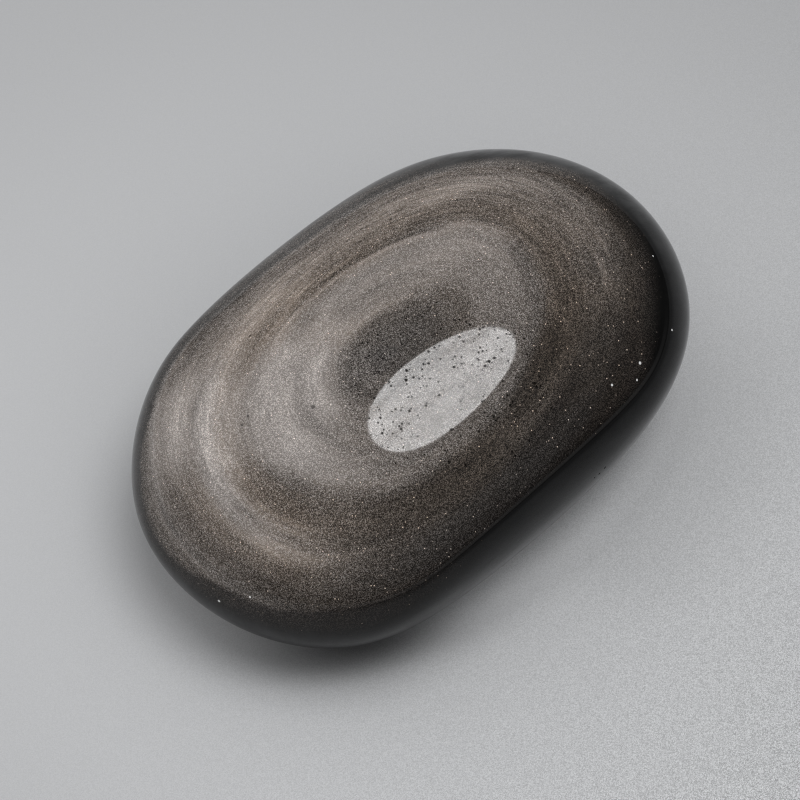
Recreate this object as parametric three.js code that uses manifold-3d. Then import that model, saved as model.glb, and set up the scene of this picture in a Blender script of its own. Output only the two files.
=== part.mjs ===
// A tumbled stone of silver sheen obsidian: one solid lump of volcanic glass, worn to a smooth long oval.
//
// Millimetres, +Z up. +X runs along the stone towards its blunt end. The origin lies under the middle of
// the stone, on the surface that it rests on.
//
// A convex skin is fixed by how far it reaches out in every direction that it can face. Reaches add up, so
// the stone is drawn as a sum: a round core, a thin needle that stretches it and makes its flanks straight,
// and a few broad swells where the tumbler left it fuller or drew it in.

import * as THREE from 'three';
import { mergeVertices } from 'three/addons/utils/BufferGeometryUtils.js';
import Module from 'manifold-3d';

// Half sizes of the core and of the needle that stretches it, along X, Y and Z.
const CORE = new THREE.Vector3(12.9, 13.2, 7.7);
const NEEDLE = new THREE.Vector3(8.4, 0.7, 1.4);
// The needle lies a little askew, which gives the outline its slight lean. Degrees about +Z.
const NEEDLE_YAW = 5;

// Where the stone is fuller (reach above 0) or drawn in (below 0). round is the direction from +X about +Z
// and up the angle above level, in degrees. spread is how far the swell fades over, in degrees.
const SWELLS = [
  { place: 'brow of the far flank', round: 110, up: 40, reach: 0.8, spread: 30 },
  { place: 'foot of the near flank', round: -70, up: -25, reach: -1.3, spread: 35 },
  { place: 'shoulder of the round end', round: 165, up: 0, reach: 0.4, spread: 30 },
  { place: 'corner of the blunt end', round: -30, up: 0, reach: -1.2, spread: 50 },
];

// The belly is worn away up to this height above where a round one would end, as on a stone that slid on
// one side for long. The edge of that worn side is rounded over about the second length.
const WORN_BELLY = 3.0;
const BELLY_EDGE = 1.2;
// What is left of the belly is still a little round, and this much of it is flat.
const WORN_FLAT = 0.03;

// The mesh is a subdivided icosahedron: every edge of it is cut into this many.
const EDGE_CUTS = 16;
// Rough half sizes of the whole stone, used only to spread the triangles evenly over it.
const ROUGH_SIZE = new THREE.Vector3(21, 13.8, 9);

const GLASS = { color: 0x5f5954, roughness: 0.12, metalness: 0.1 };

const UP = new THREE.Vector3(0, 0, 1);
const radians = THREE.MathUtils.degToRad;

// The unit vector that points round degrees from +X about +Z, and up degrees above level.
function direction(round, up) {
  const level = Math.cos(radians(up));
  return new THREE.Vector3(
    level * Math.cos(radians(round)),
    level * Math.sin(radians(round)),
    Math.sin(radians(up)),
  );
}

// The point where an oval with these half sizes faces the unit vector.
function pointOnOval(facing, halfSizes, yaw = 0) {
  const turned = facing.clone().applyAxisAngle(UP, -radians(yaw));
  const reach = turned.clone().multiply(halfSizes).length();
  return turned.multiply(halfSizes).multiply(halfSizes).divideScalar(reach).applyAxisAngle(UP, radians(yaw));
}

// How far a swell moves the skin point that faces the unit vector. The swell's reach falls off smoothly
// with the angle between the two directions, to 1/e of it at the spread.
function shiftBySwell(facing, { round, up, reach, spread }) {
  const centre = direction(round, up);
  const sharpness = 1 / (1 - Math.cos(radians(spread)));
  const along = facing.dot(centre);
  const here = reach * Math.exp(sharpness * (along - 1));
  const outward = facing.clone().multiplyScalar(here * (1 - sharpness * along));
  return outward.addScaledVector(centre, sharpness * here);
}

// The point of the stone's skin that faces the unit vector.
function pointOnSkin(facing) {
  const point = pointOnOval(facing, CORE);
  point.add(pointOnOval(facing, NEEDLE, NEEDLE_YAW));
  for (const swell of SWELLS) {
    point.add(shiftBySwell(facing, swell));
  }
  return point;
}

// The whole round stone as a closed mesh whose triangles share their vertices.
function roundStone() {
  const geometry = new THREE.IcosahedronGeometry(1, EDGE_CUTS - 1);
  geometry.deleteAttribute('normal');
  geometry.deleteAttribute('uv');
  const positions = geometry.getAttribute('position');
  for (let i = 0; i < positions.count; i += 1) {
    const facing = new THREE.Vector3().fromBufferAttribute(positions, i).divide(ROUGH_SIZE).normalize();
    const point = pointOnSkin(facing);
    positions.setXYZ(i, point.x, point.y, point.z);
  }
  return mergeVertices(geometry);
}

// Presses every point below the worn height up to it. The curve is smooth and its slope only grows, so the
// skin stays convex, and the flanks and the top stay where they are.
function wearBelly(geometry) {
  geometry.computeBoundingBox();
  const wornHeight = geometry.boundingBox.min.z + WORN_BELLY;
  const positions = geometry.getAttribute('position');
  for (let i = 0; i < positions.count; i += 1) {
    const above = positions.getZ(i) - wornHeight;
    positions.setZ(i, wornHeight + (above + Math.hypot(above, BELLY_EDGE)) / 2);
  }
  return geometry;
}

// A block that takes everything below the given height.
function blockBelow(height, width) {
  const geometry = new THREE.BoxGeometry(width, width, width);
  geometry.deleteAttribute('normal');
  geometry.deleteAttribute('uv');
  geometry.translate(0, 0, height - width / 2);
  return mergeVertices(geometry);
}

const wasm = await Module();
wasm.setup();

function toSolid(geometry) {
  return new wasm.Manifold(new wasm.Mesh({
    numProp: 3,
    vertProperties: new Float32Array(geometry.getAttribute('position').array),
    triVerts: new Uint32Array(geometry.index.array),
  }));
}

function toGeometry(solid) {
  const mesh = solid.getMesh();
  const geometry = new THREE.BufferGeometry();
  geometry.setAttribute('position', new THREE.BufferAttribute(mesh.vertProperties, 3));
  geometry.setIndex(new THREE.BufferAttribute(mesh.triVerts, 1));
  geometry.computeVertexNormals();
  geometry.computeBoundingBox();
  return geometry;
}

// The round stone with its belly worn.
function wornStone() {
  const worn = wearBelly(roundStone());
  worn.computeBoundingBox();
  const length = worn.boundingBox.max.x - worn.boundingBox.min.x;
  const flatHeight = worn.boundingBox.min.z + WORN_FLAT;
  return toGeometry(toSolid(worn).subtract(toSolid(blockBelow(flatHeight, 2 * length))));
}

function makeStone() {
  const stone = new THREE.Mesh(wornStone(), new THREE.MeshStandardMaterial(GLASS));
  stone.name = 'stone';
  const box = stone.geometry.boundingBox;
  const centre = box.getCenter(new THREE.Vector3());
  stone.position.set(-centre.x, -centre.y, -box.min.z);
  return stone;
}

const tumbledStone = new THREE.Group();
tumbledStone.name = 'tumbled_stone';
tumbledStone.add(makeStone());

export default tumbledStone;
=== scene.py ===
# %% [markdown]
# A tumbled stone of silver sheen obsidian. The real thing is one lump of volcanic glass that a tumbler has
# worn to a long smooth oval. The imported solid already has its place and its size, so this lesson loads it
# first and then dresses it: a finer skin, the layered sheen inside the glass, the polish with its small
# pits, and a plain studio around it. All lengths are metres unless a comment says mm, and +Z is up.

import math

import bmesh
import bpy
import numpy as np
from mathutils import Matrix, Vector
from mathutils.bvhtree import BVHTree


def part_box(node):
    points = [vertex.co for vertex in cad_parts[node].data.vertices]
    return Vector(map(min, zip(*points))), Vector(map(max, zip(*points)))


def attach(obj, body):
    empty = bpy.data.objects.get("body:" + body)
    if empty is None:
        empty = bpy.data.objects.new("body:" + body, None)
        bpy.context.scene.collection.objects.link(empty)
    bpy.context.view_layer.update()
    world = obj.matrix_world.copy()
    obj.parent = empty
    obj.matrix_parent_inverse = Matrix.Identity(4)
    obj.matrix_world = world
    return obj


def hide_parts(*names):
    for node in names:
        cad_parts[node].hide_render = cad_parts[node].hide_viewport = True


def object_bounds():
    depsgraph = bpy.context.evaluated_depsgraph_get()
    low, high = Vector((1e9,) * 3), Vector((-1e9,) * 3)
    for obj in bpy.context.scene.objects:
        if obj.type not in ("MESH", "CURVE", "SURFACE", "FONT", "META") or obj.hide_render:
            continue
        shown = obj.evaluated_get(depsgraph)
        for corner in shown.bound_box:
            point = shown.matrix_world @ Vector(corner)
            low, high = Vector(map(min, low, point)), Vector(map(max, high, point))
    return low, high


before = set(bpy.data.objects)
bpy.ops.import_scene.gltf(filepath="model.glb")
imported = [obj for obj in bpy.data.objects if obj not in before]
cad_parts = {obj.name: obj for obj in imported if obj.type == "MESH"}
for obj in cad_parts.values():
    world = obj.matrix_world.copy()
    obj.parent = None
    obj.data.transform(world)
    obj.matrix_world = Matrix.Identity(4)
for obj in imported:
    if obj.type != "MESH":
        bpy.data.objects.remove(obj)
CAD_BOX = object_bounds()
MM = 0.001
print("the solid is", [round((high - low) / MM, 2) for low, high in zip(*CAD_BOX)], "mm")

# %% [markdown]
# The camera comes before the stone, because some marks on the skin are placed by where the picture shows
# them. It looks down on the stone from well above level with a long lens, as for a close-up: a long lens
# far away keeps the oval's proportions, where a short lens near by would swell the near side.

# %% Set the camera
VIEW_ROUND = math.radians(-39.86)
VIEW_UP = math.radians(55.44)
CAMERA_DISTANCE = 340 * MM
AIM = Vector((-0.954, 0.450, 5.640)) * MM
PICTURE_WIDTH = 800
PIXELS_PER_MM = 15.18
SENSOR_WIDTH = 36

towards_camera = Vector((
    math.sin(VIEW_ROUND) * math.cos(VIEW_UP),
    -math.cos(VIEW_ROUND) * math.cos(VIEW_UP),
    math.sin(VIEW_UP),
))
picture_right = Vector((math.cos(VIEW_ROUND), math.sin(VIEW_ROUND), 0))
picture_up = towards_camera.cross(picture_right)

camera = bpy.data.objects.new("camera", bpy.data.cameras.new("camera"))
bpy.context.scene.collection.objects.link(camera)
bpy.context.scene.camera = camera
camera_place = AIM + towards_camera * CAMERA_DISTANCE
turned = Matrix((picture_right, picture_up, towards_camera)).transposed()
camera.matrix_world = Matrix.Translation(camera_place) @ turned.to_4x4()
camera.data.sensor_width = SENSOR_WIDTH
camera.data.lens = SENSOR_WIDTH * PIXELS_PER_MM * (CAMERA_DISTANCE / MM) / PICTURE_WIDTH
print("the lens is", round(camera.data.lens), "mm")


def ray_through(pixel):
    """The unit vector from the camera through a pixel of the picture."""
    across = (pixel[0] - PICTURE_WIDTH / 2) / (PIXELS_PER_MM / MM) / CAMERA_DISTANCE
    down = (pixel[1] - PICTURE_WIDTH / 2) / (PIXELS_PER_MM / MM) / CAMERA_DISTANCE
    return (picture_right * across - picture_up * down - towards_camera).normalized()


# %% [markdown]
# A tumbled stone is convex all over, and a convex skin is fixed by how far out it reaches in every
# direction that it can face. Reaches add up. The shape could be sculpted or subdivided from a cage, but a
# sum is shorter and has no lumps: a round core, a thin needle that stretches it and makes its flanks
# straight, and a few broad swells where the tumbler left it fuller or drew it in. The values are the
# solid's own.

# %% Describe the skin
CORE = np.array((12.9, 13.2, 7.7)) * MM
NEEDLE = np.array((8.4, 0.7, 1.4)) * MM
NEEDLE_YAW = math.radians(5)
# place, direction round from +X and up from level in degrees, reach in mm, spread in degrees
SWELLS = [
    ("brow of the far flank", 110, 40, 0.8, 30),
    ("foot of the near flank", -70, -25, -1.3, 35),
    ("shoulder of the round end", 165, 0, 0.4, 30),
    ("corner of the blunt end", -30, 0, -1.2, 50),
]


def direction(around, up):
    """The unit vector around degrees from +X about +Z, and up degrees above level."""
    around, up = math.radians(around), math.radians(up)
    return np.array((math.cos(up) * math.cos(around), math.cos(up) * math.sin(around), math.sin(up)))


def oval(facing, half_sizes, yaw=0.0):
    """Where an oval with these half sizes faces each unit vector."""
    turn = np.array(Matrix.Rotation(yaw, 3, "Z"))
    local = facing @ turn
    reach = np.linalg.norm(local * half_sizes, axis=1, keepdims=True)
    return (local * half_sizes**2 / reach) @ turn.T


def swell_shift(facing, around, up, reach, spread):
    """How far a swell moves the skin points that face the unit vectors."""
    centre = direction(around, up)
    sharpness = 1 / (1 - math.cos(math.radians(spread)))
    along = (facing @ centre)[:, None]
    here = reach * MM * np.exp(sharpness * (along - 1))
    return here * (1 - sharpness * along) * facing + sharpness * here * centre


def round_skin(facing):
    """The points of the unworn stone that face the unit vectors, about the middle of its core."""
    skin = oval(facing, CORE) + oval(facing, NEEDLE, NEEDLE_YAW)
    for _, around, up, reach, spread in SWELLS:
        skin += swell_shift(facing, around, up, reach, spread)
    return skin


# %% [markdown]
# The mesh is an icosphere, whose triangles are all nearly alike, so no pole or seam shows in the polish.
# Each of its corners stands for a direction that the skin faces. Those directions are first flattened by
# the stone's rough size, which spreads the triangles evenly. The belly, on which the stone slid for long,
# is worn nearly flat: points below the worn height are pressed up to it along a smooth curve, which keeps
# it convex.

# %% Spread the skin's points
ROUGH_SIZE = np.array((21.0, 13.8, 9.0))
WORN_BELLY = 3.0 * MM
BELLY_EDGE = 1.2 * MM
WORN_FLAT = 0.03 * MM
FINENESS = 7
SAMPLE_FINENESS = 6


def facing_of(corners):
    """The direction that the skin faces at each corner of the unit sphere."""
    facing = corners / ROUGH_SIZE
    return facing / np.linalg.norm(facing, axis=1, keepdims=True)


# Where the middle of the core lies in the frame of the solid, from the boxes of both.
sample_mesh = bmesh.new()
bmesh.ops.create_icosphere(sample_mesh, subdivisions=SAMPLE_FINENESS, radius=1)
sample = round_skin(facing_of(np.array([v.co for v in sample_mesh.verts])))
sample_mesh.free()
solid_low, solid_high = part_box("stone")
worn_height = sample[:, 2].min() + WORN_BELLY


def pressed(height):
    """Heights after the wear: those below the worn height come up to it."""
    above = height - worn_height
    return worn_height + (above + np.hypot(above, BELLY_EDGE)) / 2


core_place = np.array((solid_low + solid_high) / 2) - (sample.min(axis=0) + sample.max(axis=0)) / 2
core_place[2] = solid_low.z - pressed(sample[:, 2].min()) - WORN_FLAT
print("the core's middle is at", np.round(core_place / MM, 2), "mm")


def worn_skin(corners):
    """Points of the finished skin for corners of the unit sphere, in the frame of the solid."""
    skin = round_skin(facing_of(corners))
    skin[:, 2] = pressed(skin[:, 2])
    skin += core_place
    skin[:, 2] = np.maximum(skin[:, 2], solid_low.z)
    return skin


def corner_array(mesh):
    return np.array([v.co for v in mesh.verts])


stone_mesh = bmesh.new()
bmesh.ops.create_icosphere(stone_mesh, subdivisions=FINENESS, radius=1)
print("the sphere has", len(stone_mesh.faces), "triangles")

# %% [markdown]
# The skin gets a flat map of two ovals, one for the upper half of the sphere and one for the lower half,
# because each half is smooth and nearly flat. Equal areas of the sphere get equal areas of the map. A
# triangle that crosses the edge goes to the half that its middle is in.

# %% Lay a flat map on the skin
OVAL_WIDTH = 0.98
OVAL_HEIGHT = 0.48
HALF_MIDDLES = {1: 0.75, -1: 0.25}
flat_map = stone_mesh.loops.layers.uv.new("OFBake")
for face in stone_mesh.faces:
    half = 1 if face.calc_center_median().z >= 0 else -1
    for loop in face.loops:
        corner = loop.vert.co
        from_middle = math.sqrt(max(1 - half * corner.z, 0))
        level = max(math.hypot(corner.x, corner.y), 1e-9)
        across = from_middle * corner.x / level * OVAL_WIDTH / 2
        along = from_middle * corner.y / level * OVAL_HEIGHT / 2
        loop[flat_map].uv = (0.5 + across, HALF_MIDDLES[half] + along)
print("the map has two ovals")

# %% [markdown]
# The corners of the sphere only held directions so far. Now each one moves to the point of the skin that
# faces its direction, and smooth shading hides the edges of the fine triangles.

# %% Turn the sphere into the stone
for vertex, place in zip(stone_mesh.verts, worn_skin(corner_array(stone_mesh))):
    vertex.co = place
stone_data = bpy.data.meshes.new("stone_skin")
stone_mesh.to_mesh(stone_data)
stone_mesh.free()
stone_data.shade_smooth()
stone = bpy.data.objects.new("stone_skin", stone_data)
bpy.context.scene.collection.objects.link(stone)
print("the skin has", len(stone_data.polygons), "triangles")

# %% [markdown]
# Shader maths reads best as a formula. This small class wraps one output of a shader node, so that sums and
# products of such outputs add the Math nodes that work them out. Every other node comes from one method.


# %% Write shader maths as Python
class Wire:
    """One output in a node tree. Python's arithmetic on wires adds Math nodes."""

    def __init__(self, tree, socket=None):
        self.tree = tree
        self.socket = socket

    def node(self, kind, settings=None, feeds=None, output=0):
        """Adds a node: its settings first, then the values or wires of its inputs. Gives one output."""
        made = self.tree.nodes.new(kind)
        for name, value in (settings or {}).items():
            if name == "stops":
                set_stops(made.color_ramp, value)
            else:
                setattr(made, name, value)
        for name, value in (feeds or {}).items():
            if isinstance(value, Wire):
                self.tree.links.new(value.socket, made.inputs[name])
            else:
                made.inputs[name].default_value = value
        return Wire(self.tree, made.outputs[output] if made.outputs else None)

    def math(self, operation, *terms):
        return self.node("ShaderNodeMath", {"operation": operation}, dict(enumerate(terms)))

    def vector(self, operation, *terms, output=0):
        return self.node("ShaderNodeVectorMath", {"operation": operation}, dict(enumerate(terms)), output)

    def least(self, low):
        return self.math("MAXIMUM", self, low)

    def most(self, high):
        return self.math("MINIMUM", self, high)

    def size(self):
        return self.math("ABSOLUTE", self)

    def root(self):
        return self.math("SQRT", self)

    def exponential(self):
        return self.math("EXPONENT", self)

    def along(self, way):
        """The part of a vector that points this way."""
        return self.vector("DOT_PRODUCT", self, tuple(way), output="Value")

    def scaled(self, factor):
        """A vector or a colour times a number."""
        return self.node("ShaderNodeVectorMath", {"operation": "SCALE"}, {0: self, "Scale": factor})

    def ease(self, start, end, first=0.0, last=1.0):
        """Goes smoothly from the first value to the last one, while this wire goes from start to end."""
        return self.node("ShaderNodeMapRange", {"interpolation_type": "SMOOTHSTEP"}, {
            "Value": self, "From Min": start, "From Max": end, "To Min": first, "To Max": last})

    def hill(self, middle, half, soft):
        """1 within about half of the middle, eased to 0 over twice the soft length."""
        return (self - middle).size().ease(half - soft, half + soft, 1.0, 0.0)

    def blend(self, colour, other):
        """From one colour to another as this wire goes from 0 to 1."""
        return self.node("ShaderNodeMix", {"data_type": "RGBA"}, {0: self, 6: colour, 7: other}, 2)

    def apart(self):
        """The three parts of a vector, each as a wire."""
        parts = self.node("ShaderNodeSeparateXYZ", feeds={0: self}).socket.node.outputs
        return [Wire(self.tree, part) for part in parts]

    def __add__(self, other):
        return self.math("ADD", self, other)

    __radd__ = __add__

    def __mul__(self, other):
        return self.math("MULTIPLY", self, other)

    __rmul__ = __mul__

    def __sub__(self, other):
        return self.math("SUBTRACT", self, other)

    def __rsub__(self, other):
        return self.math("SUBTRACT", other, self)

    def __truediv__(self, other):
        return self.math("DIVIDE", self, other)

    def __pow__(self, power):
        return self.math("POWER", self, power)


def set_stops(ramp, stops):
    """Gives a colour ramp its stops, each a place from 0 to 1 and a colour."""
    while len(ramp.elements) < len(stops):
        ramp.elements.new(1)
    for element, (place, colour) in zip(ramp.elements, stops):
        element.position = place
        element.color = (*colour, 1)


def new_material(name):
    """An empty material, a wire to start from, and a function that hands the finished shader over."""
    material = bpy.data.materials.new(name)
    material.use_nodes = True
    material.node_tree.nodes.clear()
    start = Wire(material.node_tree)

    def finish(shader):
        start.node("ShaderNodeOutputMaterial", feeds={"Surface": shader})
        return material

    return start, finish


# %% [markdown]
# Sheen obsidian is black glass that holds thin layers of tiny bubbles, drawn out flat while the lava
# flowed. The layers are nearly level here, and the domed skin cuts through them, so each one shows as a
# ring, as heights do on a map. The rings could be painted on as an image, but a formula fits the stone from
# every side: how deep a point lies under the top layer says which ring it is on. The layers tilt and bow a
# little, so the rings aren't quite level, and the root of the depth spaces them by how far out they run.

# %% Find the ring and the side of each point
start, finish = new_material("polished_obsidian")
spot = start.node("ShaderNodeTexCoord", output="Object")
spot = spot.vector("SUBTRACT", spot, tuple(core_place)).scaled(1 / MM)
facing = start.node("ShaderNodeTexCoord", output="Normal")
x, y, z = spot.apart()
lean_x, lean_y, lean_z = facing.apart()

# all in mm about the middle of the core; the slopes and curves are a layer's rise along x, y or both
TOP_LAYER = 9.13
RING_SPACING = 9.5
HEART = (-2.9, -0.8, 0.0)
SLOPE_X, SLOPE_Y = 0.029, 0.0285
BOW_Y, TWIST = 0.0043, 0.0024
SAG_X, SAG_Y = 0.00014, 0.00042
tilt = x * SLOPE_X + y * SLOPE_Y
bow = y * y * BOW_Y + x * y * TWIST
sag = x * x * x * SAG_X + y * y * y * SAG_Y
depth = (TOP_LAYER - (z - tilt + bow - sag)).least(0.0)
outward = spot.vector("SUBTRACT", spot.vector("MULTIPLY", spot, (1, 1, 0)), HEART)
outward = outward.vector("NORMALIZE", outward)


def side(angle, half, soft):
    """1 on the side of the heart that lies at this angle from +X about +Z, eased to 0. Degrees."""
    near = math.cos(math.radians(max(half - soft, 0)))
    far = math.cos(math.radians(min(half + soft, 180)))
    return outward.along(direction(angle, 0)).ease(far, near)


# The rings run wider towards the far round end, and narrower on the near side.
WIDER, NARROWER = 0.6, 0.3
ring = depth.root() * RING_SPACING - side(145, 60, 50) * WIDER + side(-100, 50, 40) * NARROWER
print("the heart of the rings is", HEART, "mm from the middle of the core")

# %% [markdown]
# Each layer has its own brightness and its own warmth: a dark heart, then silver, then a brown zone, then
# silver-brown again. A colour ramp holds such a list well. Here it isn't used as a colour: its red channel
# carries the brightness of the layer and its green one the warmth, which are mixed into a colour later.

# %% Give each layer its brightness and warmth
RAMP_SPAN = 21.0
# how far out the ring runs in mm, brightness, warmth
LAYERS = [
    (0.0, 0.074, 0.30),
    (2.2, 0.080, 0.50),
    (3.3, 0.146, 0.40),
    (4.3, 0.190, 0.30),
    (7.5, 0.250, 0.22),
    (8.7, 0.203, 0.30),
    (9.2, 0.158, 0.40),
    (9.5, 0.135, 0.55),
    (10.4, 0.118, 0.75),
    (11.3, 0.129, 0.75),
    (12.3, 0.165, 0.60),
    (13.6, 0.177, 0.55),
    (15.0, 0.155, 0.50),
    (16.6, 0.165, 0.50),
    (18.0, 0.160, 0.60),
    (20.0, 0.130, 0.60),
]
stops = [(at / RAMP_SPAN, (painted_sheen_brightness, warm, 0)) for at, painted_sheen_brightness, warm in LAYERS]
layers = start.node("ShaderNodeValToRGB", {"stops": stops}, {0: ring / RAMP_SPAN})
layer_shine, warmth, _ = layers.apart()
print("the ramp has", len(LAYERS), "layers")

# %% [markdown]
# No ring keeps its brightness all the way round, because the layers thin out, swell and fold. So the rings
# get streaks: each lies at a distance from the heart and on one side of it, has soft edges, and makes the
# sheen stronger or weaker, warmer or greyer. Drift lets a streak run out or in as it goes round. The
# amounts are exponents, so streaks that cross multiply. This is painting, only with numbers for a brush.

# %% Lay the streaks over the rings
# name, ring in mm, half its width, softness, drift per radian, angle, half its reach, softness in degrees,
# gain as an exponent, warmth
STREAKS = [
    ("outer layers of the near side", 13.0, 5.0, 2.5, 0, -55, 45, 30, -0.1, 0.15),
    ("darkest patch of the near side", 13.2, 0.9, 0.5, 0, -62, 16, 12, -0.9, 0.2),
    ("dark patch towards the blunt end", 10.0, 0.8, 0.6, 0, -46, 14, 12, -0.75, 0.3),
    ("dark patch towards the round end", 9.9, 0.7, 0.5, 0.8, -115, 25, 15, -0.4, 0.1),
    ("light streak between the dark patches", 11.7, 0.6, 0.5, 0, -62, 14, 12, 0.3, 0),
    ("light band inside the near brown", 8.6, 0.7, 0.5, 0, -95, 50, 20, 0.4, 0),
    ("browner layers of the near side", 11.0, 1.6, 0.8, 0, -60, 60, 30, 0, 0.2),
    ("greyer layers of the near side", 14.8, 1.8, 0.8, 0, -100, 22, 15, 0, -0.3),
    ("brown layers of the blunt end", 13.5, 4.5, 1.5, 0, -32, 14, 12, 0, 0.35),
    ("brown spot of the round end", 10.6, 1.4, 0.8, 0, -171, 9, 8, -0.25, 0.25),
    ("bright flank of the round end", 11.5, 1.9, 0.8, 0, 164, 14, 9, 0.5, -0.15),
    ("bright stripe down the round end", 17.0, 2.6, 0.6, 0, 155, 9, 8, 0.45, -0.1),
    ("grey stripe beside it", 16.2, 2.0, 0.8, 0, 176, 9, 8, -0.1, 0.1),
    ("silver layers of the round end", 8.0, 12.0, 1.0, 0, 168, 22, 20, 0, -0.25),
    ("silver ring of the round end", 13.2, 0.9, 0.6, 0, 165, 22, 12, 0, -0.2),
    ("warm ring of the round end", 15.3, 1.3, 0.8, 0, -170, 16, 10, 0, 0.25),
    ("bright spot by the near round end", 14.2, 1.1, 0.8, 0, -156, 10, 8, 0.4, 0),
    ("fine dark arc of the round end", 5.4, 0.25, 0.25, 1.4, -168, 22, 10, -0.15, 0),
    ("light ring of the far round end", 12.2, 0.6, 0.5, 0, 128, 18, 12, 0.2, 0),
    ("dark streak by the far rim", 16.6, 1.0, 0.6, 0, 118, 14, 10, -0.55, 0),
    ("grey wedge by the round end", 7.4, 0.9, 0.7, 0, 122, 9, 8, -0.4, 0.1),
    ("grey wedge of the far side", 7.0, 0.9, 0.6, -0.6, 72, 34, 16, -0.3, 0),
    ("warm edge of the far side", 9.2, 1.0, 0.6, 0, 100, 40, 20, 0, 0.2),
    ("hairline of the far side", 9.2, 0.2, 0.15, 0.5, 70, 28, 14, -0.35, 0.1),
    ("light line inside the hairline", 8.7, 0.25, 0.2, 0.3, 66, 28, 14, 0.25, 0),
    ("light layers round the heart", 4.7, 0.9, 0.6, 0, 150, 40, 15, 0.15, 0),
    ("tail of the heart", 3.7, 0.5, 0.7, 0, -2, 16, 16, -0.42, 0.25),
    ("light arc of the blunt end", 14.9, 1.3, 0.9, -6.5, 24, 16, 12, 0.5, -0.1),
    ("light patch of the blunt end", 16.0, 2.2, 1.2, 0, -8, 12, 8, 0.75, 0),
    ("dark rim of the blunt end", 18.8, 0.9, 0.6, 0, 8, 12, 8, -0.4, 0.2),
    ("light knot", 9.3, 0.6, 0.5, 0, 22, 9, 7, 0.35, 0),
    ("dark knot", 8.6, 0.5, 0.4, 0, 2, 9, 7, -0.15, 0),
    ("softer silver of the far side", 8.3, 0.5, 0.4, 0, 74, 30, 15, -0.22, 0.1),
    ("brown band below the silver", 8.9, 0.6, 0.5, 0, -154, 13, 9, -0.35, 0.15),
    ("light band outside that brown", 11.8, 0.8, 0.5, 0, -163, 12, 9, 0.28, 0),
    ("light crescent beside the heart", 4.5, 0.6, 0.5, 0, 163, 18, 12, 0.25, -0.1),
    ("light silver of the near round end", 7.0, 0.9, 0.6, 0, -163, 14, 10, 0.12, -0.1),
    ("light line of the near round end", 20.2, 0.4, 0.4, 0, -178, 20, 10, 0.4, -0.1),
    ("brown layers inside that line", 17.6, 0.8, 0.6, 0, -178, 18, 10, -0.22, 0.1),
    ("dim line of the near round end", 18.2, 1.1, 0.6, 0, -151, 12, 10, -0.32, 0),
    ("dim layers by the far round end", 18.0, 1.3, 0.6, 0, 130, 16, 12, -0.25, 0),
    ("sheen close to the far rim", 19.1, 0.8, 0.6, 0, 72, 44, 16, 0.42, 0),
    ("light layers of the near round end", 14.2, 0.8, 0.6, 0, -168, 14, 10, 0.2, -0.1),
    ("dimmer inner silver of the far side", 5.3, 0.6, 0.5, 0, 70, 32, 15, -0.2, 0),
    ("light edge of the heart", 3.2, 0.5, 1.0, 0, 112, 50, 35, 0.2, 0),
    ("soft edge of the heart", 2.8, 0.6, 0.9, 0, 90, 36, 25, 0.2, 0),
    ("dim ring round the heart", 4.6, 0.5, 0.9, 0, 84, 34, 16, -0.18, 0),
    ("lighter middle of the heart", 1.3, 0.6, 0.5, 0, 180, 38, 20, 0.24, 0),
    ("light line of the far brown", 10.2, 0.35, 0.4, 0, 90, 18, 12, 0.16, 0),
    ("dim line round the far silver", 9.3, 0.6, 0.5, 0, 72, 30, 15, -0.42, 0.1),
    ("dim edge of the far silver", 8.0, 0.6, 0.4, 0, 102, 14, 12, -0.25, 0),
    ("dim outer layer of the far side", 14.7, 0.9, 0.6, 0, 102, 34, 15, -0.3, 0),
    ("dimmer layers of the far side", 12.5, 3.5, 1.5, 0, 55, 30, 20, -0.13, 0),
    ("lighter layers of the near side", 10.9, 1.9, 0.8, 0, -88, 18, 12, 0.22, 0),
    ("dimmer layers by the blunt corner", 12.7, 1.4, 0.8, 0, -42, 9, 8, -0.2, 0),
    ("lighter layers of the blunt end", 12.5, 4.0, 1.5, 0, -5, 20, 12, 0.13, 0),
    ("dim ring inside the silver", 5.5, 0.5, 0.4, 0, 170, 16, 10, -0.15, 0),
    ("light wisp beside the heart", 6.3, 0.5, 0.5, 0, 178, 12, 10, 0.18, 0),
    ("dim layers by the round end", 16.0, 1.5, 0.6, 0, -172, 18, 12, -0.2, 0.1),
    ("dim edge of the near silver", 8.8, 0.4, 0.4, 0, -122, 12, 10, -0.24, 0),
    ("greyer outer layers of the near side", 12.4, 4.0, 0.8, 0, -48, 34, 16, 0, -0.28),
    ("light edge of the heart's round end", 3.6, 0.6, 0.5, 0, 178, 16, 12, 0.2, 0),
    ("lighter brown of the near side", 11.7, 0.9, 0.6, 0, -68, 16, 12, 0.15, 0),
    ("dim knot of the blunt end", 9.4, 0.5, 0.4, 0, 4, 14, 10, -0.2, 0),
    ("dark shoulder of the blunt end", 18.0, 2.0, 1.6, 0, -38, 34, 20, -0.5, 0),
    ("darkest flank of the blunt end", 17.3, 1.8, 1.0, 0, -45, 15, 14, -0.6, 0),
    ("light outer line of the near side", 16.4, 0.5, 0.4, 0, -104, 12, 10, 0.3, 0),
    ("dim layers beside the near silver", 12.1, 0.7, 0.5, 0, -116, 22, 10, -0.2, 0),
    ("dim layers of the blunt corner", 14.0, 0.9, 0.5, 0, -24, 14, 9, -0.18, 0),
]
streak_and_painted_sheen_gain = ring * 0
for _, at, half, soft, drift, angle, reach, fade, strength, warmer in STREAKS:
    run = ring
    if drift:
        run = ring - outward.along(direction(angle + 90, 0)) * drift
    streak = side(angle, reach, fade) * run.hill(at, half, soft)
    if strength:
        streak_and_painted_sheen_gain = streak_and_painted_sheen_gain + streak * strength
    if warmer:
        warmth = warmth + streak * warmer
print("laid", len(STREAKS), "streaks")
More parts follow.
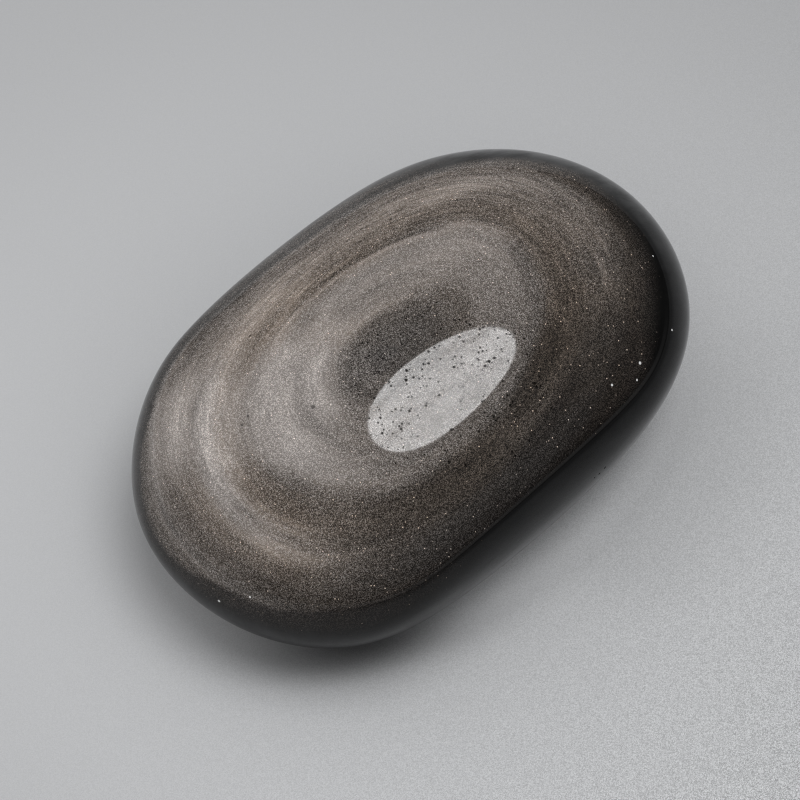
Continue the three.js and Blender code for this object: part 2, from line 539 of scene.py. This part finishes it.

# %% [markdown]
# The bubbles are flat, so they shine like a stack of tiny mirrors. That shine is painted into the base
# colour as a painted sheen that is fixed to the stone: strongest where the skin faces up and towards the
# far round end, and less and less as it leans away. Past a certain lean the painted sheen stops all at
# once, and the bare black glass begins. A fixed oval cone about a leaning axis gives that edge. It lies
# further out at the round end, and further in at the blunt one and on the near side. A trace of painted
# sheen stays outside it at the near round end and along the far rim, and the belly, which faces the layers
# squarely again, has a weaker painted sheen.

# %% Let the painted sheen fade as the skin leans
TOWARDS_FAR_END, FROM_LEVEL, CROSSWAYS = 1.8, 2.2, 1.8
# painted sheen: the layers' shine in the base colour fades as the skin leans away from up and the far end
painted_sheen_falloff = (lean_y - lean_x) * TOWARDS_FAR_END - (1.0 - lean_z * lean_z) * FROM_LEVEL
painted_sheen_falloff = painted_sheen_falloff + lean_x * lean_y * CROSSWAYS
SHEEN_AXIS = direction(-129.9, 72.7)
SHEEN_ACROSS = direction(-129.9, -17.3)
CONE_OVALITY = 0.1
upright = facing.along(SHEEN_AXIS)
aside = facing.along(SHEEN_ACROSS)
cone = upright * upright - aside * aside * CONE_OVALITY
# how far the edge of the sheen moves out or in: angle, half its reach, softness, amount
EDGE_SHIFTS = [
    (168, 8, 16, 0.14),
    (175, 32, 14, 0.08),
    (8, 18, 14, 0.07),
    (-12, 14, 14, -0.13),
    (-72, 62, 28, -0.10),
]
edge = cone
for angle, half, soft, amount in EDGE_SHIFTS:
    edge = edge + side(angle, half, soft) * amount
SHEEN_ENDS, SHEEN_FULL = 0.34, 0.52
NEAR_TRACE, FAR_TRACE, BELLY_SHEEN = 0.32, 0.3, 0.5
# the painted sheen's mask: where the base colour shows the layers' painted shine
painted_top_sheen = edge.ease(SHEEN_ENDS, SHEEN_FULL) * lean_z.ease(0.0, 0.1)
painted_near_sheen = side(-160, 38, 25) * cone.ease(-0.1, 0.3) * NEAR_TRACE
painted_far_sheen = side(115, 65, 25) * lean_z.ease(-0.1, 0.2) * FAR_TRACE
painted_belly_sheen = lean_z.ease(-0.7, -0.95) * BELLY_SHEEN
painted_sheen_mask = painted_top_sheen.least(painted_near_sheen).least(painted_far_sheen) + painted_belly_sheen
print("the edge of the sheen has", len(EDGE_SHIFTS), "shifts")

# %% [markdown]
# Up close the sheen is a fine glitter. It has three sizes: cloudy patches about a millimetre wide, finer
# streaks drawn out along the rings as the glass flowed, and the single bubbles, each a grain of a few
# hundredths of a millimetre with its own brightness. Noise makes the first two. Voronoi cells make the
# grains, because every cell has one even random value. Noise for them would blur into worms.

# %% Break the sheen up into clouds, streaks and grains
GRAINS_PER_MM = 24.0
SPARKLES_PER_MM = 6.0


def noise_along_rings(across, along):
    """Noise from -0.5 to 0.5 whose patches are drawn out along the rings. Patches per mm both ways."""
    stretched = start.node("ShaderNodeCombineXYZ", feeds={0: x * along, 1: y * along, 2: ring * across})
    return start.node("ShaderNodeTexNoise", {"noise_dimensions": "3D"}, {
        "Vector": stretched, "Scale": 1.0, "Detail": 3.0, "Roughness": 0.6}) - 0.5


def cells(per_mm):
    """Cells in the glass: the even random number of a point's cell, and how far its middle is."""
    settings, feeds = {"voronoi_dimensions": "3D"}, {"Vector": spot, "Scale": per_mm}
    luck = start.node("ShaderNodeTexVoronoi", settings, feeds, "Color").apart()[0]
    return luck, start.node("ShaderNodeTexVoronoi", settings, feeds, "Distance")


clouds = noise_along_rings(across=1.1, along=0.45)
fine_streaks = noise_along_rings(across=3.6, along=0.3)
# Clouds are strongest in the dark near side, streaks outside the silver and away from the round end.
LEAST_CLOUDS, NEAR_CLOUDS = 0.5, 1.3
LEAST_STREAKS, OUTER_STREAKS, CALM_ROUND_END = 0.7, 1.3, 0.9
near_dark = side(-65, 60, 35) * ring.ease(8.0, 11.0)
cloudiness = LEAST_CLOUDS + near_dark * NEAR_CLOUDS
streakiness = LEAST_STREAKS + ring.ease(8.5, 9.5) * (OUTER_STREAKS - side(170, 45, 25) * CALM_ROUND_END)
streak_and_painted_sheen_gain = streak_and_painted_sheen_gain + painted_sheen_falloff + clouds * cloudiness + fine_streaks * streakiness
print("a grain is about", round(1 / GRAINS_PER_MM, 3), "mm")

# %% [markdown]
# Now brightness, warmth and grain become one colour: the layers' own rings with the painted sheen on them,
# and a faint painted reflection of the room wherever that sheen shows. Few grains catch the light at a
# time, so the third power makes most of them dull and a few bright, and least so where the sheen is strong
# and dense. Bright grains are greyer than dull ones, as tiny mirrors are next to brown glass. Here and
# there one bubble is big enough to sparkle by itself, as a painted glint. What the sheen leaves is almost
# black glass.

# %% Mix the glass colour
BLACK_GLASS = (0.002, 0.002, 0.002)
SILVER = (1.074, 0.985, 0.934, 1)
BROWN = (1.215, 0.960, 0.759, 1)
# a faint painted reflection of the room, added to the base colour wherever the painted sheen shows
PAINTED_ROOM_REFLECTION = 0.014
painted_sheen_brightness = (layer_shine * streak_and_painted_sheen_gain.exponential() + PAINTED_ROOM_REFLECTION) * painted_sheen_mask
luck, _ = cells(GRAINS_PER_MM)
lucky = luck ** 3
DULL_EVENNESS, BRIGHT_EVENNESS = 0.14, 0.64
evenness = painted_sheen_brightness.ease(0.03, 0.30, DULL_EVENNESS, BRIGHT_EVENNESS)
# The mean of the cube of an even random number is 1/4, so this keeps the mean brightness.
CUBE_MEAN = 1 / 4
grain = evenness + (1.0 - evenness) * lucky / CUBE_MEAN
# painted glints: a few big bubbles lighten the base colour as if each caught the light
spark_luck, from_spark = cells(SPARKLES_PER_MM)
painted_sparkle = spark_luck.ease(0.86, 1.0) ** 3 * from_spark.ease(0.30, 0.12)
SPARKLE_SHINE = 0.9
GREYER_GRAINS = 0.8
warm_lean = lean_x * 0.08 - lean_y * 0.22 + 0.2
tint = (warmth + warm_lean - lucky * GREYER_GRAINS).least(0.0).most(1.4).blend(SILVER, BROWN)
# the layers' own rings carrying the painted sheen and its painted glints
sheen = tint.scaled(painted_sheen_brightness * grain + painted_sparkle * painted_sheen_mask * SPARKLE_SHINE)
body = sheen.vector("ADD", sheen, BLACK_GLASS)
print("the sheen runs from", SILVER[:3], "to", BROWN[:3])

# %% [markdown]
# Tumbling leaves tiny pits where bubbles lay just under the skin. They hardly show on the grey sheen, but
# in the highlight each is a black dot, because no polish is left there to mirror the light; their base
# colour is darkened too, as painted shade in the hollows. Small ones are scattered at random over the worn
# crown of the stone. The few that stand out, some dark marks and the brightest painted glints are put where
# the picture shows them, by a ray from the camera to the skin. They could be dented into the mesh, but they
# are finer than its triangles.

# %% Find places on the skin from places in the picture
skin_tree = BVHTree.FromPolygons(
    [v.co for v in stone_data.vertices], [tuple(p.vertices) for p in stone_data.polygons])


def on_skin(pixel):
    """Where the picture shows this pixel on the skin, in mm about the middle of the core."""
    place = skin_tree.ray_cast(camera_place, ray_through(pixel))[0]
    return (place - Vector(core_place)) / MM


def dot(pixel, radius):
    """1 within the radius in mm of the pixel's place on the skin, eased to 0 just outside it."""
    from_place = spot.vector("DISTANCE", spot, tuple(on_skin(pixel)), output="Value")
    return from_place.ease(radius * 1.25, radius * 0.75)


def dots(marks):
    """1 inside any of the marks, each a pixel and a radius."""
    together = spot.along((0, 0, 0))
    for pixel, radius in marks:
        together = together.least(dot(pixel, radius))
    return together


PICTURE_MIDDLE = (400.0, 400.0)
print("the middle of the picture is", [round(part, 2) for part in on_skin(PICTURE_MIDDLE)], "on the stone")

# %% Mark the skin
# the pixel and the radius in mm of each pit that stands out
BIG_PITS = [
    ((489.0, 361.3), 0.10),
    ((478.6, 359.8), 0.07),
    ((434.5, 347.6), 0.08),
    ((406.0, 380.0), 0.11),
    ((391.0, 386.0), 0.07),
    ((393.0, 422.0), 0.06),
    ((494.7, 330.0), 0.06),
    ((506.4, 333.8), 0.07),
    ((496.0, 349.6), 0.05),
    ((508.2, 360.9), 0.07),
    ((478.2, 366.7), 0.05),
    ((480.4, 378.5), 0.05),
    ((453.0, 359.7), 0.06),
    ((605.0, 467.6), 0.10),
    ((599.4, 473.6), 0.09),
    ((594.6, 477.6), 0.07),
]
# the same for dark marks that don't break the polish, and for the brightest painted glints
DARK_MARKS = [
    ((313.0, 407.0), 0.13),
    ((248.0, 416.0), 0.09),
    ((242.0, 425.0), 0.10),
    ((391.0, 219.0), 0.10),
    ((250.0, 336.0), 0.08),
    ((595.0, 293.0), 0.10),
]
PAINTED_GLINTS = [
    ((219.0, 601.0), 0.09),
    ((640.0, 363.0), 0.10),
    ((250.0, 597.0), 0.07),
    ((637.0, 380.0), 0.07),
    ((612.0, 385.0), 0.08),
    ((653.0, 256.0), 0.06),
    ((672.0, 330.0), 0.07),
]
NO_LIGHT, PAINTED_GLINT_COLOUR = (0, 0, 0, 1), (0.8, 0.8, 0.8, 1)
BIG_PIT_SHADE, DARK_MARK_SHADE = 0.9, 0.6
big_pit = dots(BIG_PITS)
# painted shade in the big pits, and the dark marks' own colour, both darken the base colour
body = body.scaled((1.0 - big_pit * BIG_PIT_SHADE) * (1.0 - dots(DARK_MARKS) * DARK_MARK_SHADE))
# painted glints: pale light added to the base colour at the brightest flecks
body = body.vector("ADD", body, dots(PAINTED_GLINTS).blend(NO_LIGHT, PAINTED_GLINT_COLOUR))
print("placed", len(BIG_PITS) + len(DARK_MARKS) + len(PAINTED_GLINTS), "marks on the skin")

# %% Scatter the small pits
PITS_PER_MM = 3.5
SMALL_PIT_SHADE = 0.85
# as parts of a cell
LEAST_REACH, REACH_RANGE = 0.155, 0.23
# the pixel and the radius in mm of the worn crown
CROWN = ((450.0, 385.0), 7.0)
bunches = start.node("ShaderNodeTexNoise", {"noise_dimensions": "3D"}, {"Vector": spot, "Scale": 0.8})
pit_luck, from_pit = cells(PITS_PER_MM)
pit_reach = (pit_luck ** 3 * REACH_RANGE + LEAST_REACH) * bunches.ease(0.38, 0.48) * dot(*CROWN)
small_pit = (from_pit / (pit_reach + 0.001)).ease(1.25, 0.75)
# painted shade in the small pits: their base colour is darkened
body = body.scaled(1.0 - small_pit * SMALL_PIT_SHADE)
pit = small_pit.least(big_pit)
print("a small pit is at most", round((LEAST_REACH + REACH_RANGE) / PITS_PER_MM, 2), "mm in radius")

# %% [markdown]
# The polish is a clear coat over the glass: a thin mirror that shows the room and lets the sheen through.
# The glass could be all one glossy shader, but then the flat bubbles inside would mirror as sharply as the
# skin. Wiping leaves a faint haze in the coat, which is strongest on the crown and shows in the highlight,
# and a pit has no coat at all.

# %% Polish it
HAZE_STRETCH = (0.22, 0.9, 0.6)
COAT_MEAN = 0.87
FLANK_HAZE, CROWN_HAZE = 0.5, 1.7
COAT_BEND = 1.37
wiped = start.node("ShaderNodeVectorMath", {"operation": "MULTIPLY"}, {0: spot, 1: HAZE_STRETCH})
haze = start.node("ShaderNodeTexNoise", {"noise_dimensions": "3D"}, {
    "Vector": wiped, "Scale": 1.0, "Detail": 4.0, "Roughness": 0.65}) - 0.5
haze = haze * lean_z.ease(0.60, 0.85, FLANK_HAZE, CROWN_HAZE)
polish = (haze + COAT_MEAN).most(1.0) * (1.0 - pit)
glass = start.node("ShaderNodeBsdfPrincipled", feeds={
    "Base Color": body,
    "Roughness": 0.6,
    "Specular IOR Level": 0.0,
    "Coat Weight": polish,
    "Coat Roughness": 0.04,
    "Coat IOR": COAT_BEND,
})
stone_data.materials.append(finish(glass))
print("the glass has", len(stone_data.materials[0].node_tree.nodes), "nodes")

# %% [markdown]
# The stone lies on a plain pale sheet. Its colour holds a painted fall of light, darker a little to one
# side, and painted shade towards the picture's corners. Out of the picture the light on it changes, painted
# as a pool of light into its colour, which matters here, because the polished flanks mirror the sheet far
# beyond the picture's edge.

# %% The sheet under the stone
FLOOR_SIZE = 1.2
SHEET_COLOUR = (0.60, 0.607, 0.62)
floor_data = bpy.data.meshes.new("floor")
corner = FLOOR_SIZE / 2
floor_data.from_pydata(
    [(-corner, -corner, 0), (corner, -corner, 0), (corner, corner, 0), (-corner, corner, 0)],
    [],
    [(0, 1, 2, 3)],
)
floor = bpy.data.objects.new("floor", floor_data)
bpy.context.scene.collection.objects.link(floor)
start, finish = new_material("pale_sheet")
place = start.node("ShaderNodeNewGeometry")
across, along, _ = place.apart()
distance = (across * across + along * along).root()


def towards(angle):
    """The cosine between the way to a point from the stone's middle and this angle from +X, in degrees."""
    return place.along(direction(angle, 0)) / distance


MIDDLE_TONE, CORNER_SHADE = 0.986, 0.10
# painted fall of light: the sheet darkens by these parts over 30 mm along +X and +Y, between start and end
FALL_X, FALL_Y = 0.073 / (30 * MM), 0.009 / (30 * MM)
FALL_START, FALL_END = -20 * MM, 50 * MM
POOL_EDGE, POOL_END = 48 * MM, 150 * MM
DARK_SIDE, LIGHT_SIDE = 0.55, 1.6
sheet_tone_and_painted_light = MIDDLE_TONE - across.least(FALL_START).most(FALL_END) * FALL_X
sheet_tone_and_painted_light = sheet_tone_and_painted_light - along.least(-FALL_END).most(FALL_END) * FALL_Y
# painted shade towards the corners, then a painted pool of light far out, brighter on one side
painted_corner_shade = 1.0 - distance.ease(25 * MM, 50 * MM) * CORNER_SHADE
painted_far_light = towards(125).ease(-0.4, 0.8, DARK_SIDE, LIGHT_SIDE)
painted_light_pool = 1.0 + distance.ease(POOL_EDGE, POOL_END) * (painted_far_light - 1.0)
sheet_tone_and_painted_light = sheet_tone_and_painted_light * painted_corner_shade * painted_light_pool
print("the sheet is", FLOOR_SIZE, "m wide")

# %% [markdown]
# Where the belly curves up from the sheet, light hardly gets in. The lamps make most of that shade by
# themselves. What they miss is painted: a dark crescent where the near round end touches down, a wide faint
# ring along the near side, and less dark close to the rest of the stone. A fine tooth, like that of good
# paper, is roughest in the corner nearest to the camera, where the picture is sharpest.

# %% Shade the sheet beside the stone and give it its tooth
stone_half = [(high - low) / 2 for low, high in zip(*CAD_BOX)]
over_x, over_y = across / stone_half[0], along / stone_half[1]
under = (over_x * over_x + over_y * over_y).root()
CRESCENT_SHADE, RING_SHADE, EDGE_LIGHT = 0.8, 0.075, 0.22
CRESCENT_ANGLE, CRESCENT_POWER = -143, 15
NEAR_ANGLE = -50
crescent = under.ease(1.15, 0.93) * towards(CRESCENT_ANGLE).least(0.0) ** CRESCENT_POWER * CRESCENT_SHADE
near_side = towards(NEAR_ANGLE).ease(0.75, 0.95)
soft_ring = under.ease(0.98, 1.08) * under.ease(1.2, 1.75, 1.0, 0.0) * near_side * RING_SHADE
lit_edge = under.ease(1.05, 0.90) * EDGE_LIGHT
sheet_tone_and_painted_light = sheet_tone_and_painted_light * (1.0 - crescent) * (1.0 - soft_ring) * (1.0 + lit_edge)
TOOTH_PER_M = 20000.0
tooth = start.node("ShaderNodeTexVoronoi", {"voronoi_dimensions": "3D"}, {
    "Vector": place, "Scale": TOOTH_PER_M}, "Color").apart()[0] - 0.5
LEAST_TOOTH, CORNER_TOOTH = 0.05, 0.75
towards_corner = across * 0.24 - along * 1.2
roughness = ((towards_corner + 60 * MM) / (100 * MM)).least(0.0).most(1.1) ** 4 * CORNER_TOOTH + LEAST_TOOTH
colour = start.node("ShaderNodeCombineXYZ", feeds=dict(enumerate(SHEET_COLOUR)))
sheet = start.node("ShaderNodeBsdfPrincipled", feeds={
    "Base Color": colour.scaled(sheet_tone_and_painted_light * (1.0 + tooth * roughness)),
    "Roughness": 0.8,
    "Specular IOR Level": 0.0,
})
floor_data.materials.append(finish(sheet))
print("the tooth repeats every", round(1000 / TOOTH_PER_M, 3), "mm")

# %% [markdown]
# The light is one soft oval panel high above, as in a small product studio. The panel that shows as the
# stone's highlight and the light that it sheds are split into two lamps here: the first is seen only by the
# polish, the second only by matt surfaces, so the highlight's edge and the softness of the shadow can each
# be set to look right. A sun as wide as the sky stands in for the light that a pale room sends back.

# %% The light
PANEL_DISTANCE = 1.0


def hang_panel(name, around, up, length, width, radiance):
    """An oval panel of light that faces the stone from this direction, its length along +Y."""
    panel = bpy.data.objects.new(name, bpy.data.lights.new(name, "AREA"))
    bpy.context.scene.collection.objects.link(panel)
    back = Vector(direction(around, up))
    wide = Vector((0, 1, 0)).cross(back).normalized()
    turned = Matrix((back.cross(wide), wide * -1, back)).transposed()
    panel.matrix_world = Matrix.Translation(Vector(core_place) + back * PANEL_DISTANCE) @ turned.to_4x4()
    panel.data.shape = "ELLIPSE"
    panel.data.size = length
    panel.data.size_y = width
    panel.data.energy = radiance * math.pi * math.pi * length * width / 4
    return panel


mirrored = hang_panel("mirrored panel", around=5.1, up=71.88, length=0.505, width=0.431, radiance=14.0)
mirrored.visible_diffuse = False
shed = hang_panel("shed light", around=-30, up=80, length=0.73, width=0.73, radiance=2.85)
shed.visible_glossy = False
fill = bpy.data.objects.new("fill light", bpy.data.lights.new("fill light", "SUN"))
bpy.context.scene.collection.objects.link(fill)
FILL_SPREAD, FILL_STRENGTH = 170, 0.8
fill.data.angle = math.radians(FILL_SPREAD)
fill.data.energy = FILL_STRENGTH
fill.visible_glossy = False
print("the mirrored panel is", round(mirrored.data.energy, 1), "W")

# %% [markdown]
# The polish also mirrors the room, and black glass shows that more than anything: a bright room would veil
# the sheen in grey. So the surroundings are dim, a little lighter overhead, with one pale strip low on the
# near side, as of a lit wall, that gives the blunt end's rim its thin bright line. The picture is kept a
# little crisper than usual, and the noise filter is told to trust the fine grain.

# %% The room's dim surroundings
world = bpy.data.worlds.new("studio")
bpy.context.scene.world = world
world.use_nodes = True
world.node_tree.nodes.clear()
sky = Wire(world.node_tree)
looking = sky.node("ShaderNodeTexCoord", output=0)
_, _, height = looking.apart()
LOW_ROOM, HIGH_ROOM, STRIP_LIGHT = 0.08, 0.30, 0.35
strip = height.hill(0.045, 0.035, 0.015) * looking.along(direction(-110, 0)).ease(-0.2, 0.5) * STRIP_LIGHT
brightness = height.ease(0.1, 0.8, LOW_ROOM, HIGH_ROOM) + strip
surroundings = sky.node("ShaderNodeBackground", feeds={"Color": (1, 1, 1, 1), "Strength": brightness})
sky.node("ShaderNodeOutputWorld", feeds={"Surface": surroundings})
bpy.context.scene.view_settings.view_transform = "Standard"
bpy.context.scene.cycles.filter_width = 1.2
bpy.context.scene.cycles.denoising_prefilter = "NONE"
print("the world has", len(world.node_tree.nodes), "nodes")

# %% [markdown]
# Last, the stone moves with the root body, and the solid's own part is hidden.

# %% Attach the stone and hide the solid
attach(stone, "root")
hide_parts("stone")
